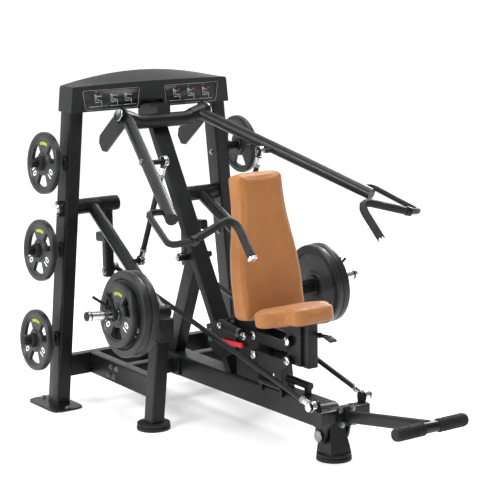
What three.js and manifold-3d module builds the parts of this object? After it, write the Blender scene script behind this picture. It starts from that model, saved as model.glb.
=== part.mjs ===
// Plate-loaded chest press machine, in millimetres, +Z up.
// The user sits facing -Y. The machine is symmetric about X = 0, apart from its seat hardware.
// Rig coordinates: Y = 0 is the front face of the uprights and Z = 0 is the floor.
import * as THREE from 'three';
import { mergeVertices } from 'three/addons/utils/BufferGeometryUtils.js';
import Module from 'manifold-3d';

const wasm = await Module();
wasm.setup();

// ---------- driving dimensions ----------
const GAP = 0.3; // clearance between pieces that touch
const ROUND_SIDES = 12;
const WIDE_SIDES = 32;
const BORE_SIDES = 28; // a bore keeps its flats clear of a turning pin's corners
const REAR_Y = 227.5; // rearmost point: the stored plates
const FRONT_Y = -2430; // frontmost point: the foot bar

const SPLAY = 0.0868; // outward lean of uprights, posts and horns, as a slope
const SPLAY_ANGLE = Math.atan(SPLAY);

const UPRIGHT = { foot: 609, width: 84, depth: 115, top: 1700, plate: 12 };
const PEG = { heights: [1357, 878, 378], boss: 14, radius: 24.5, flangeAt: 88, flange: 8, length: 198 };
const PLATE_SMALL = { radius: 170, thickness: 38, gripSlots: [0, 1, 2] };
const PLATE_LARGE = { radius: 225, thickness: 45, gripSlots: [] };
const HEADER = { low: 1636, side: 1777, front: -25, rear: 121, wall: 5 };
const BASE = { top: 275, height: 120 };
const SHAFT = { y: 57.5, z: 1105, radius: 25 };
const BORE = SHAFT.radius + 0.4;

const TOP_PIVOT = new THREE.Vector3(152, -127, 1571); // mitre of pivot tube and slanted hub
const HUB_AXIS = new THREE.Vector3(0.936, -0.124, 0.329).normalize();
const ARM_END = new THREE.Vector3(629, -1198, 1219);
const MAST = { top: [-92, 1508], foot: [-813, 280], width: 100, depth: 50 };
const BRACE = { top: [-451, 848], foot: [-212, 275] };

const WEIGHT_ARM_END = new THREE.Vector3(433, -751, 654);
const HORN = { start: 387, flange: 560, tip: 870, y: -753, z: 645, radius: 25 };
const ROD_TOP = new THREE.Vector3(308, -630, 1419);
const ROD_FOOT = new THREE.Vector3(322, -392, 856);

const LEVER_PIVOT = { y: -1656, z: 128 };
const LEVER_EAR = { x: 140, y: -1715, z: 308 };
const FOOT_BAR = { y: -2399, z: 336, half: 211, grip: 42, radius: 31 };
const ROCKER = { x: 264, foot: 688, pin: 738 };

const LINK = { rear: -1077, front: -1375, upper: 530, lower: 428, rise: 26 };
const SEAT = { rear: -1232, front: -1554, middle: -1350, low: 640, thickness: 84, tilt: 0.166 };
const BACK = { foot: [-1200, 644], lean: 0.18, height: 750, thickness: 112 };

// ---------- solids ----------
function toSolid(geometry) {
  const source = geometry.clone();
  source.deleteAttribute('normal');
  source.deleteAttribute('uv');
  const merged = mergeVertices(source, 1e-3);
  const vertProperties = new Float32Array(merged.attributes.position.array);
  const triVerts = new Uint32Array(merged.index.array);
  const solid = new wasm.Manifold(new wasm.Mesh({ numProp: 3, vertProperties, triVerts }));
  if (solid.volume() > 0) return solid;
  return new wasm.Manifold(new wasm.Mesh({ numProp: 3, vertProperties, triVerts: triVerts.reverse() }));
}

function toGeometry(solid) {
  const mesh = solid.getMesh();
  const geometry = new THREE.BufferGeometry();
  geometry.setAttribute('position', new THREE.BufferAttribute(new Float32Array(mesh.vertProperties), 3));
  geometry.setIndex(new THREE.BufferAttribute(new Uint32Array(mesh.triVerts), 1));
  geometry.computeVertexNormals();
  return geometry;
}

const join = (...solids) => solids.reduce((a, b) => a.add(b));
const cut = (solid, ...tools) => tools.reduce((a, b) => a.subtract(b), solid);
const vec = (x, y, z) => new THREE.Vector3(x, y, z);

function box(x0, x1, y0, y1, z0, z1) {
  const geometry = new THREE.BoxGeometry(Math.abs(x1 - x0), y1 - y0, z1 - z0);
  geometry.translate((x0 + x1) / 2, (y0 + y1) / 2, (z0 + z1) / 2);
  return toSolid(geometry);
}

// A frame whose Z runs from a to b and whose X stays as near as it can to the given direction.
function frameAlong(a, b, sideways) {
  const z = b.clone().sub(a).normalize();
  const x = sideways.clone().addScaledVector(z, -sideways.dot(z)).normalize();
  const y = z.clone().cross(x);
  return new THREE.Matrix4().makeBasis(x, y, z).setPosition(a);
}

function rod(a, b, radius, sides = ROUND_SIDES) {
  const length = a.distanceTo(b);
  const geometry = new THREE.CylinderGeometry(radius, radius, length, sides);
  geometry.rotateX(Math.PI / 2);
  geometry.translate(0, 0, length / 2);
  const sideways = Math.abs(b.z - a.z) > 0.9 * length ? vec(1, 0, 0) : vec(0, 0, 1);
  geometry.applyMatrix4(frameAlong(a, b, sideways));
  return toSolid(geometry);
}

const rodX = (x0, x1, y, z, radius, sides) => rod(vec(x0, y, z), vec(x1, y, z), radius, sides);
const ring = (a, b, outer, inner) => {
  const over = b.clone().sub(a).normalize();
  return cut(rod(a, b, outer), rod(a.clone().sub(over), b.clone().add(over), inner, BORE_SIDES));
};

function ball(centre, radius) {
  const geometry = new THREE.SphereGeometry(radius, ROUND_SIDES, 6);
  geometry.translate(centre.x, centre.y, centre.z);
  return toSolid(geometry);
}

function roundedOutline(width, depth, radius, arcSteps = 2) {
  const shape = new THREE.Shape();
  const corners = [[1, -1, -90], [1, 1, 0], [-1, 1, 90], [-1, -1, 180]];
  const points = [];
  for (const [sx, sy, start] of corners) {
    for (let i = 0; i <= arcSteps; i += 1) {
      const angle = THREE.MathUtils.degToRad(start + (90 * i) / arcSteps);
      const x = sx * (width / 2 - radius) + radius * Math.cos(angle);
      const y = sy * (depth / 2 - radius) + radius * Math.sin(angle);
      points.push(new THREE.Vector2(x, y));
    }
  }
  shape.setFromPoints(points);
  return shape;
}

// A rounded rectangular bar from a to b; width runs along X, or along Y for a bar that follows X.
function bar(a, b, width, depth, radius) {
  const settings = { depth: a.distanceTo(b), bevelEnabled: false };
  const geometry = new THREE.ExtrudeGeometry(roundedOutline(width, depth, radius), settings);
  const followsX = Math.abs(b.x - a.x) > 0.9 * a.distanceTo(b);
  geometry.applyMatrix4(frameAlong(a, b, followsX ? vec(0, 1, 0) : vec(1, 0, 0)));
  return toSolid(geometry);
}

// A plate whose outline lies in the YZ plane, from x0 to x1.
function slab(outline, x0, x1) {
  const shape = new THREE.Shape(outline.map(([y, z]) => new THREE.Vector2(y, z)));
  const settings = { depth: Math.abs(x1 - x0), bevelEnabled: false };
  const geometry = new THREE.ExtrudeGeometry(shape, settings);
  geometry.applyMatrix4(new THREE.Matrix4().makeBasis(vec(0, 1, 0), vec(0, 0, 1), vec(1, 0, 0)));
  geometry.translate(Math.min(x0, x1), 0, 0);
  return toSolid(geometry);
}

// A round-ended strap through the given [y, z] points, from x0 to x1.
function strap(points, radius, x0, x1) {
  const pieces = points.map(([y, z]) => rodX(x0, x1, y, z, radius));
  for (let i = 1; i < points.length; i += 1) {
    const [ya, za] = points[i - 1];
    const [yb, zb] = points[i];
    const length = Math.hypot(yb - ya, zb - za);
    const ny = (-(zb - za) / length) * radius;
    const nz = ((yb - ya) / length) * radius;
    const corners = [[ya + ny, za + nz], [ya - ny, za - nz], [yb - ny, zb - nz], [yb + ny, zb + nz]];
    pieces.push(slab(corners, x0, x1));
  }
  return join(...pieces);
}

// A round tube through the points, with each inner corner turned in a smooth bend.
function bentTube(points, bend, radius, steps = 18, sides = 8) {
  const path = new THREE.CurvePath();
  let from = points[0];
  for (let i = 1; i < points.length - 1; i += 1) {
    const before = points[i].clone().sub(points[i - 1]);
    const after = points[i + 1].clone().sub(points[i]);
    const enter = points[i].clone().addScaledVector(before.normalize(), -bend);
    const leave = points[i].clone().addScaledVector(after.normalize(), bend);
    path.add(new THREE.LineCurve3(from, enter));
    path.add(new THREE.QuadraticBezierCurve3(enter, points[i], leave));
    from = leave;
  }
  path.add(new THREE.LineCurve3(from, points[points.length - 1]));
  const section = [];
  for (let i = 0; i < sides; i += 1) {
    const angle = (2 * Math.PI * i) / sides;
    section.push(new THREE.Vector2(radius * Math.cos(angle), radius * Math.sin(angle)));
  }
  const geometry = new THREE.ExtrudeGeometry(new THREE.Shape(section), { steps, extrudePath: path });
  return toSolid(geometry);
}

// A closed skin through rings that hold the same number of points.
function loft(rings) {
  const count = rings[0].length;
  const positions = rings.flat().flatMap((p) => [p.x, p.y, p.z]);
  const index = [];
  for (let r = 0; r < rings.length - 1; r += 1) {
    for (let i = 0; i < count; i += 1) {
      const j = (i + 1) % count;
      const a = r * count + i;
      const b = r * count + j;
      index.push(a, b, b + count, a, b + count, a + count);
    }
  }
  for (const r of [0, rings.length - 1]) {
    const middle = rings[r].reduce((sum, p) => sum.add(p), vec(0, 0, 0)).divideScalar(count);
    positions.push(middle.x, middle.y, middle.z);
    const hub = positions.length / 3 - 1;
    for (let i = 0; i < count; i += 1) {
      const pair = [r * count + i, r * count + ((i + 1) % count)];
      if (r === 0) pair.reverse();
      index.push(hub, ...pair);
    }
  }
  const geometry = new THREE.BufferGeometry();
  geometry.setAttribute('position', new THREE.Float32BufferAttribute(positions, 3));
  geometry.setIndex(index);
  return toSolid(geometry);
}

// ---------- materials and scene graph ----------
const FINISHES = {
  paint: { color: 0x2a2c2d, roughness: 0.42, metalness: 0.35 },
  plastic: { color: 0x26282a, roughness: 0.5, metalness: 0.0 },
  rubber: { color: 0x1b1c1d, roughness: 0.8, metalness: 0.0 },
  plate: { color: 0x68686b, roughness: 0.62, metalness: 0.0 },
  chrome: { color: 0xd8dadc, roughness: 0.15, metalness: 1.0 },
  leather: { color: 0xc4824c, roughness: 0.5, metalness: 0.0 },
  red: { color: 0xb81722, roughness: 0.4, metalness: 0.0 },
};

const machine = new THREE.Group();
const rig = new THREE.Group();
rig.position.y = -(REAR_Y + FRONT_Y) / 2;
machine.add(rig);

function addPart(name, solid, finish) {
  const mesh = new THREE.Mesh(toGeometry(solid), new THREE.MeshStandardMaterial(FINISHES[finish]));
  mesh.name = name;
  rig.add(mesh);
  return mesh;
}

const SIDES = [['left', -1], ['right', 1]];
const onSide = (p, side) => vec(p.x * side, p.y, p.z);

// ---------- uprights, header and base ----------
const uprightOuter = (z) => UPRIGHT.foot + UPRIGHT.width / 2 - SPLAY * z;
const uprightInner = (z) => uprightOuter(z) - UPRIGHT.width;
const pegDirection = (side) => vec(side * Math.cos(SPLAY_ANGLE), 0, Math.sin(SPLAY_ANGLE));
const pegRoot = (side, z) => vec(side * uprightOuter(z), SHAFT.y, z);
const pegPoint = (side, z, along) => pegRoot(side, z).addScaledVector(pegDirection(side), along);

function columnBar(side, inflate = 0) {
  const below = -20;
  const a = vec(side * (UPRIGHT.foot - SPLAY * below), SHAFT.y, below);
  const b = vec(side * (UPRIGHT.foot - SPLAY * UPRIGHT.top), SHAFT.y, UPRIGHT.top);
  return bar(a, b, UPRIGHT.width + 2 * inflate, UPRIGHT.depth + 2 * inflate, 12);
}

function makeUpright(name, side) {
  const footPlate = bar(vec(side * 630, SHAFT.y, 0), vec(side * 630, SHAFT.y, UPRIGHT.plate), 190, 335, 45);
  const column = cut(columnBar(side), box(-800, 800, -200, 300, -60, 4));
  const pegs = PEG.heights.map((z) => join(
    rod(pegPoint(side, z, -20), pegPoint(side, z, PEG.boss), 44),
    rod(pegPoint(side, z, -20), pegPoint(side, z, PEG.length), PEG.radius),
    rod(pegPoint(side, z, PEG.flangeAt), pegPoint(side, z, PEG.flangeAt + PEG.flange), 36),
  ));
  const outerBoss = rodX(side * 530, side * 579, SHAFT.y, SHAFT.z, 45);
  const innerCollar = rodX(side * 490, side * 407, SHAFT.y, SHAFT.z, 44);
  const bore = rodX(side * 620, side * 380, SHAFT.y, SHAFT.z, BORE);
  addPart(`${name}_upright`, cut(join(column, footPlate, outerBoss, innerCollar, ...pegs), bore), 'paint');
}

function makeWeightShaft(name, side) {
  const shaft = rodX(side * 585, side * 203, SHAFT.y, SHAFT.z, SHAFT.radius);
  const outerCap = rodX(side * (579 + GAP), side * 591, SHAFT.y, SHAFT.z, 37);
  const innerCap = rodX(side * 211.5, side * 200, SHAFT.y, SHAFT.z, 40);
  addPart(`${name}_weight_shaft`, join(shaft, outerCap, innerCap), 'chrome');
}

// One cross section of the header: flat bottom, splayed sides and an arched top.
function headerRing(y, arch, inset, low) {
  const points = [];
  const foot = uprightOuter(HEADER.low) + 9 - inset;
  const shoulder = foot - SPLAY * (HEADER.side - HEADER.low) - 6;
  points.push(vec(-foot, y, low), vec(foot, y, low), vec(shoulder + 6, y, HEADER.side - 14 - inset));
  const steps = 10;
  for (let i = 0; i <= steps; i += 1) {
    const t = 1 - (2 * i) / steps;
    points.push(vec(shoulder * t, y, HEADER.side - inset + arch * (1 - t * t)));
  }
  points.push(vec(-shoulder - 6, y, HEADER.side - 14 - inset));
  return points;
}

function headerBody(inset, low) {
  const { front, rear } = HEADER;
  const spots = [[0, 8], [0.15, 18], [0.5, 42], [0.9, 62], [1, 58]];
  const depth = rear - front - 2 * inset;
  return loft(spots.map(([t, arch]) => headerRing(front + inset + depth * t, arch, inset, low)));
}

function makeHeader() {
  const shell = cut(headerBody(0, HEADER.low), headerBody(HEADER.wall, HEADER.low - 20));
  const notch = bar(vec(0, HEADER.front - 10, 1640), vec(0, HEADER.front + 30, 1640), 150, 84, 12);
  addPart('header_shroud', cut(shell, notch), 'plastic');
}

const FOOT = { height: 36, radius: 90 };

// A round rubber foot with a groove between its two lips.
function footDisc(centre) {
  const at = (z) => centre.clone().setZ(z);
  return join(
    rod(at(0), at(17), FOOT.radius, WIDE_SIDES),
    rod(at(10), at(30), FOOT.radius - 7, WIDE_SIDES),
    rod(at(22), at(FOOT.height), FOOT.radius - 2, WIDE_SIDES),
  );
}

function makeBase() {
  const { top, height } = BASE;
  const low = top - height;
  const reach = 700;
  const middle = top - height / 2;
  const beam = bar(vec(-reach, SHAFT.y, middle), vec(reach, SHAFT.y, middle), 60, height, 6);
  const trim = [-1, 1].map((side) => columnBar(side, GAP));
  const outside = [-1, 1].map((side) => box(side * 590, side * 800, -100, 200, low - 50, top + 50));
  addPart('rear_crossbeam', cut(beam, ...trim, ...outside), 'paint');

  const rearY = SHAFT.y - 30 - GAP;
  const centre = bar(vec(0, rearY, middle), vec(0, -1600, middle), 120, height, 8);
  const nose = rodX(-60, 60, -1600, middle, 60);
  const postRings = [[FOOT.height + GAP, 64, -1672], [70, 60, -1670], [140, 50, -1662], [225, 47, -1650]];
  const post = loft(postRings.map(([z, half, y]) => {
    const corners = [[-1, -1], [1, -1], [1, 1], [-1, 1]];
    return corners.map(([sx, sy]) => vec(sx * half, y + sy * half * 0.92, z));
  }));
  const pivot = rodX(-62, 62, LEVER_PIVOT.y, LEVER_PIVOT.z, 34);
  const pin = rodX(-84, 84, LEVER_PIVOT.y, LEVER_PIVOT.z, 16);
  const stopTube = rod(vec(30, -1250, 322), vec(30, -1442, 318), 20);
  const stopFeet = [-1275, -1420].map((y) => box(16, 44, y - 12, y + 12, top - 10, 318));
  const damper = rod(vec(-74, -1140, 304), vec(-74, -1340, 302), 14);
  const damperLugs = [-1152, -1330].map((y) => box(-76, -50, y - 8, y + 8, 255, 304));
  const fittings = [pivot, pin, stopTube, ...stopFeet, damper, ...damperLugs];
  addPart('centre_beam', join(centre, nose, post, ...fittings), 'paint');
  addPart('front_foot', footDisc(vec(0, -1672, 0)), 'rubber');
}

const POST = { foot: 438, y: -672, top: 478 };

function makeSide(name, side) {
  const { top, height } = BASE;
  const middle = top - height / 2;
  const postX = (z) => side * (POST.foot - 1.15 * SPLAY * z);
  const column = bar(vec(postX(0), POST.y, 0), vec(postX(520), POST.y, 520), 80, 88, 10);
  const floor = box(side * 300, side * 600, -800, -500, -40, FOOT.height + GAP);
  const above = box(side * 300, side * 600, -800, -500, POST.top, 700);
  const post = cut(column, floor, above);
  addPart(`${name}_post_foot`, footDisc(vec(postX(0), POST.y, 0)), 'rubber');
  const bumperX = postX(POST.top + 60);
  const bumper = bar(vec(bumperX, POST.y - 30, POST.top - 20), vec(bumperX, POST.y - 34, 602), 84, 98, 16);
  const under = box(side * 300, side * 600, -800, -500, 400, POST.top + GAP);
  addPart(`${name}_stop_bumper`, cut(bumper, under), 'rubber');

  const railFoot = vec(side * 385, SHAFT.y - 30 - GAP, middle);
  const railEnd = vec(side * 412, POST.y, middle);
  const rail = bar(railFoot.clone().add(vec(0, 60, 0)), railEnd, 60, height, 8);
  const behind = box(side * 300, side * 500, SHAFT.y - 30 - GAP, 200, 0, 400);
  addPart(`${name}_side_frame`, join(post, cut(rail, behind)), 'paint');

  const tieY = -280;
  const tie = bar(vec(side * 72, tieY, middle), vec(side * 420, tieY, middle), 74, 88, 14);
  const flange = bar(vec(side * (60 + GAP), tieY, middle), vec(side * 72, tieY, middle), 150, 108, 10);
  const railTool = bar(railFoot.clone().add(vec(0, 60, 0)), railEnd, 60.8, height + 2, 8);
  const beyondRail = box(side * 400, side * 600, -500, 0, 0, 400);
  addPart(`${name}_tie_beam`, cut(join(tie, flange), railTool, beyondRail), 'paint');
}

// ---------- mast, brace and top pivot ----------
const mastBar = (inflate = 0) => bar(
  vec(0, ...MAST.top), vec(0, ...MAST.foot), MAST.width + 2 * inflate, MAST.depth + 2 * inflate, 5,
);

function makeMast() {
  const tubeTool = rodX(-200, 200, TOP_PIVOT.y, TOP_PIVOT.z, 40 + GAP, 48);
  const slope = (MAST.foot[0] - MAST.top[0]) / (MAST.foot[1] - MAST.top[1]);
  const head = vec(0, MAST.top[0] + slope * 70, MAST.top[1] + 70);
  const tail = vec(0, MAST.foot[0] - slope * 60, MAST.foot[1] - 60);
  const body = bar(head, tail, MAST.width, MAST.depth, 5);
  const above = box(-100, 100, -400, 100, TOP_PIVOT.z - GAP, 1800);
  const floor = box(-100, 100, -1000, 0, 0, BASE.top + GAP);
  addPart('mast', cut(body, tubeTool, above, floor), 'paint');

  const up = vec(0, BRACE.top[0] - 40, BRACE.top[1] + 96);
  const brace = bar(up, vec(0, BRACE.foot[0] + 25, BRACE.foot[1] - 60), 72, 100, 7);
  const mastTool = bar(head, tail, MAST.width + 40, MAST.depth + 2 * GAP, 5);
  const mastY = (z) => MAST.top[0] + slope * (z - MAST.top[1]);
  const ahead = slab([[mastY(650), 650], [mastY(1200), 1200], [-900, 1200], [-900, 650]], -100, 100);
  const axle = rodX(-108, 108, -424, 845, 18);
  addPart('rear_brace', join(cut(brace, mastTool, floor, ahead), axle), 'paint');
}

const hubPoint = (side, along) => onSide(TOP_PIVOT.clone().addScaledVector(HUB_AXIS, along), side);
const HUB = { seam: 42, end: 137, pin: 20 };

function makePivotTube() {
  const tube = rodX(-TOP_PIVOT.x, TOP_PIVOT.x, TOP_PIVOT.y, TOP_PIVOT.z, 40, 32);
  const ends = [-1, 1].map((side) => join(
    ball(hubPoint(side, 0), 40),
    rod(hubPoint(side, 0), hubPoint(side, HUB.seam), 40),
    rod(hubPoint(side, 0), hubPoint(side, HUB.end + 6), HUB.pin),
    rod(hubPoint(side, HUB.end + 0.5), hubPoint(side, HUB.end + 14), 38),
  ));
  const neck = box(-42, 42, TOP_PIVOT.y - 20, 60, TOP_PIVOT.z, 1662);
  const beam = bar(vec(-500, SHAFT.y, 1670), vec(500, SHAFT.y, 1670), 70, 50, 6);
  const trim = [-1, 1].map((side) => columnBar(side, GAP));
  const outside = [-1, 1].map((side) => box(side * 440, side * 600, -100, 200, 1600, 1750));
  addPart('pivot_tube', join(tube, neck, ...ends, cut(beam, ...trim, ...outside)), 'paint');
}

// ---------- press arms ----------
const armStart = TOP_PIVOT.clone().addScaledVector(HUB_AXIS, 88);
const armPoint = (t) => armStart.clone().lerp(ARM_END, t);
const COLLAR_REACH = 12;
const HANDLE = {
  root: armPoint(0.93),
  elbow: vec(706, -1092, 1248),
  turn: vec(784, -1416, 1138),
  collar: vec(668, -1452, 1156),
  bend: vec(386, -1376, 1236),
  tip: vec(403, -1554, 1054),
};

function makePressArm(name, side) {
  const hub = ring(hubPoint(side, HUB.seam + 0.5), hubPoint(side, HUB.end), 43, HUB.pin + 0.4);
  const arm = rod(onSide(armStart, side), onSide(ARM_END, side), 33);
  const bore = rod(hubPoint(side, 10), hubPoint(side, 180), HUB.pin + 0.4, BORE_SIDES);
  const inboard = rod(hubPoint(side, -60), hubPoint(side, HUB.seam + 0.5), 90);
  const earTip = vec(259, 67, 1448);
  const earHub = vec(262, -140, 1607);
  const earWay = vec(0, earTip.y - earHub.y, earTip.z - earHub.z).normalize();
  const earSpot = (from, along, across) => [
    from.y + earWay.y * along - earWay.z * across,
    from.z + earWay.z * along + earWay.y * across,
  ];
  const ear = slab([
    earSpot(earHub, 0, -55), earSpot(earTip, 12, -55), earSpot(earTip, 46, -28),
    earSpot(earTip, 46, 28), earSpot(earTip, 12, 55), earSpot(earHub, 0, 55),
  ], side * 257, side * 267);
  const earRoot = rodX(side * 257, side * 267, earHub.y, earHub.z, 55);
  const handle = bentTube(
    [HANDLE.root, HANDLE.elbow, HANDLE.turn, HANDLE.collar].map((p) => onSide(p, side)), 48, 17, 26,
  );
  const gripWay = HANDLE.bend.clone().sub(HANDLE.collar).normalize();
  const collarAt = (reach) => onSide(HANDLE.collar.clone().addScaledVector(gripWay, reach), side);
  const collar = [collarAt(-14), collarAt(COLLAR_REACH)];
  const pinEnd = onSide(ROD_TOP.clone().add(vec(-16, 0, 0)), side);
  const pinAt = (x) => onSide(ROD_TOP.clone().add(vec(x, 0, 0)), side);
  const pin = join(rod(pinAt(60), pinEnd, 9), rod(pinAt(90), pinAt(20), 14));
  const bearing = ball(onSide(ROD_TOP, side), 17);
  const body = cut(join(hub, arm, ear, earRoot), bore, inboard);
  addPart(`${name}_press_arm`, join(body, handle, rod(...collar, 25), pin, bearing), 'paint');

  const gripStart = HANDLE.collar.clone().addScaledVector(gripWay, COLLAR_REACH + GAP);
  const grip = bentTube([gripStart, HANDLE.bend, HANDLE.tip].map((p) => onSide(p, side)), 100, 22, 22);
  addPart(`${name}_hand_grip`, grip, 'rubber');
}

function makePushRod(name, side) {
  const eye = (p, half, radius) => {
    const ends = [-half, half].map((x) => onSide(vec(p.x + x, p.y, p.z), side));
    return rod(...ends, radius);
  };
  const socket = ball(onSide(ROD_TOP, side), 18.9);
  const tube = rod(onSide(ROD_TOP.clone().lerp(ROD_FOOT, 0.033), side), onSide(ROD_FOOT, side), 15);
  addPart(`${name}_push_rod`, cut(join(eye(ROD_TOP, 11, 27), eye(ROD_FOOT, 13, 25), tube), socket), 'paint');
}

// ---------- weight arms, horns and plates ----------
const hornPoint = (side, x) => vec(side * x, HORN.y, HORN.z + SPLAY * (x - HORN.start));

function makeWeightArm(name, side) {
  const hub = ring(vec(side * 318, SHAFT.y, SHAFT.z), vec(side * 406, SHAFT.y, SHAFT.z), 44, BORE);
  const arm = rod(vec(side * 362, SHAFT.y, SHAFT.z), onSide(WEIGHT_ARM_END, side), 35);
  const bore = rodX(side * 250, side * 480, SHAFT.y, SHAFT.z, BORE, BORE_SIDES);
  const hornTube = rod(hornPoint(side, HORN.start), hornPoint(side, HORN.flange), 37);
  const flange = rod(hornPoint(side, HORN.flange), hornPoint(side, HORN.flange + 10), 60);
  const stub = rodX(side * (ROD_FOOT.x + 15), side * 400, ROD_FOOT.y, ROD_FOOT.z, 13);
  const spine = rod(hornPoint(side, HORN.start + 60), hornPoint(side, HORN.flange + 40), HORN.radius - 8);
  addPart(`${name}_weight_arm`, join(cut(join(hub, arm), bore), hornTube, flange, stub, spine), 'paint');

  const start = HORN.flange + 10 + GAP;
  const sleeve = rod(hornPoint(side, start), hornPoint(side, HORN.tip - 14), HORN.radius);
  const tip = rod(hornPoint(side, HORN.tip - 14), hornPoint(side, HORN.tip), 29);
  const socket = rod(hornPoint(side, start - 20), hornPoint(side, start + 45), HORN.radius - 7.6);
  addPart(`${name}_horn_sleeve`, cut(join(sleeve, tip), socket), 'chrome');
}

// A tri-grip disc about its own Z axis, with its middle at the origin.
function plateSolid({ radius, thickness, gripSlots }) {
  const half = thickness / 2;
  const profile = [[26, -half], [radius - 5, -half], [radius, -half + 6]];
  const outline = [...profile, ...profile.map(([r, z]) => [r, -z]).reverse()];
  outline.push(outline[0]);
  const lathe = new THREE.LatheGeometry(outline.map(([r, z]) => new THREE.Vector2(r, z)), WIDE_SIDES);
  lathe.rotateX(Math.PI / 2);
  const body = toSolid(lathe);
  const openings = gripSlots.map((k) => {
    const inner = radius * 0.42;
    const outer = radius * 0.76;
    const spread = 0.5;
    const shape = new THREE.Shape();
    const middle = -Math.PI / 2 + (k * 2 * Math.PI) / 3;
    shape.absarc(0, 0, outer, middle - spread, middle + spread, false);
    shape.absarc(0, 0, inner, middle + spread * 0.72, middle - spread * 0.72, true);
    const geometry = new THREE.ExtrudeGeometry(shape, { depth: 80, bevelEnabled: false, curveSegments: 3 });
    geometry.translate(0, 0, -40);
    return toSolid(geometry);
  });
  return cut(body, ...openings);
}

const smallPlate = plateSolid(PLATE_SMALL);
const largePlate = plateSolid(PLATE_LARGE);

function addPlate(name, solid, centre, side) {
  const mesh = addPart(name, solid, 'plate');
  const out = pegDirection(side);
  const across = vec(0, side, 0);
  const up = out.clone().cross(across);
  mesh.applyMatrix4(new THREE.Matrix4().makeBasis(across, up, out).setPosition(centre));
}

function makeHornLoad(name, side) {
  const stack = [
    ['inner', PLATE_LARGE, largePlate],
    ['middle', PLATE_LARGE, largePlate],
    ['outer', PLATE_SMALL, smallPlate],
  ];
  const along = pegDirection(side);
  let reach = 1.5;
  for (const [label, size, solid] of stack) {
    const middle = hornPoint(side, HORN.flange + 10).addScaledVector(along, reach + size.thickness / 2);
    addPlate(`${name}_horn_plate_${label}`, solid, middle, side);
    reach += size.thickness + 0.6;
  }
  const at = (s) => hornPoint(side, HORN.flange + 10).addScaledVector(along, reach + s);
  const coil = ring(at(1), at(27), 34, HORN.radius + 0.5);
  const handle = (s, y, x, z) => rod(at(s).add(vec(0, y / 2, 32)), at(s).add(vec(side * x, y, z)), 8, 10);
  const grips = [handle(11, -14, 46, 124), handle(20, 22, 98, 104)];
  addPart(`${name}_spring_clip`, join(coil, ...grips), 'rubber');
}

function makeStorage(name, side) {
  ['top', 'middle', 'low'].forEach((label, i) => {
    const along = PEG.flangeAt + PEG.flange + 0.6 + PLATE_SMALL.thickness / 2;
    addPlate(`${name}_storage_plate_${label}`, smallPlate, pegPoint(side, PEG.heights[i], along), side);
  });
}

// ---------- foot lever, assist rods and rockers ----------
const ASSIST = { rearX: 221, frontX: 166, halfEye: 12 };

function makeAssist(name, side) {
  const hub = ring(vec(side * 213, SHAFT.y, SHAFT.z), vec(side * 316, SHAFT.y, SHAFT.z), 44, BORE);
  const tubeAt = (z) => vec(side * ROCKER.x, SHAFT.y, z);
  const tube = bar(tubeAt(SHAFT.z), tubeAt(ROCKER.foot), 54, 54, 12);
  const bore = rodX(side * 150, side * 350, SHAFT.y, SHAFT.z, BORE, BORE_SIDES);
  const stub = rodX(side * (ASSIST.rearX + ASSIST.halfEye + 2), side * 264, SHAFT.y, ROCKER.pin, 14);
  const padArm = rodX(side * 264, side * 322, 40, 930, 16);
  const pad = bar(vec(side * 322, 50, 926), vec(side * 322, -46, 934), 46, 56, 12);
  addPart(`${name}_rocker`, join(cut(join(hub, tube), bore), stub, padArm, pad), 'paint');

  const rear = vec(side * ASSIST.rearX, SHAFT.y, ROCKER.pin);
  const front = vec(side * ASSIST.frontX, LEVER_EAR.y, LEVER_EAR.z);
  const across = vec(side * ASSIST.halfEye, 0, 0);
  const eye = (p) => rod(p.clone().sub(across), p.clone().add(across), 24, 20);
  const hole = rod(front.clone().add(vec(-side * 40, 0, 0)), front.clone().add(vec(side * 40, 0, 0)), 10.5);
  addPart(`${name}_assist_rod`, cut(join(eye(rear), eye(front), rod(rear, front, 14)), hole), 'paint');
}

function makeFootLever() {
  const { y, z } = LEVER_PIVOT;
  const cheeks = [-1, 1].map((side) => {
    const path = [[y, z], [y - 22, z + 70], [LEVER_EAR.y - 12, 246]];
    return strap(path, 42, side * 64.5, side * 78);
  });
  const bores = rodX(-120, 120, y, z, 16.6, BORE_SIDES);
  const yoke = bar(vec(-152, -1738, 250), vec(152, -1738, 250), 64, 66, 8);
  const ears = [-1, 1].map((side) => {
    const path = [[LEVER_EAR.y - 14, 244], [LEVER_EAR.y, LEVER_EAR.z]];
    const plate = strap(path, 26, side * (LEVER_EAR.x - 6), side * (LEVER_EAR.x + 6));
    return join(plate, rodX(side * LEVER_EAR.x, side * (ASSIST.frontX + 18), LEVER_EAR.y, LEVER_EAR.z, 10),
      rodX(side * (ASSIST.frontX + 15), side * (ASSIST.frontX + 24), LEVER_EAR.y, LEVER_EAR.z, 18));
  });
  const flange = bar(vec(0, -1770, 244), vec(0, -1783, 246), 108, 96, 10);
  const stem = bar(vec(0, -1775, 243), vec(0, FOOT_BAR.y + 10, FOOT_BAR.z), 38, 64, 17);
  const tee = rodX(-(FOOT_BAR.grip - GAP), FOOT_BAR.grip - GAP, FOOT_BAR.y, FOOT_BAR.z, 27);
  const core = rodX(-FOOT_BAR.half + 8, FOOT_BAR.half - 8, FOOT_BAR.y, FOOT_BAR.z, 15);
  const body = cut(join(...cheeks, yoke), bores);
  addPart('foot_lever', join(body, ...ears, flange, stem, tee, core), 'paint');
  for (const [name, side] of SIDES) {
    const grip = rodX(side * FOOT_BAR.grip, side * FOOT_BAR.half, FOOT_BAR.y, FOOT_BAR.z, FOOT_BAR.radius);
    const socket = rodX(side * 10, side * (FOOT_BAR.half - 7.5), FOOT_BAR.y, FOOT_BAR.z, 15.4);
    addPart(`${name}_foot_grip`, cut(grip, socket), 'rubber');
  }
}

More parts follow.
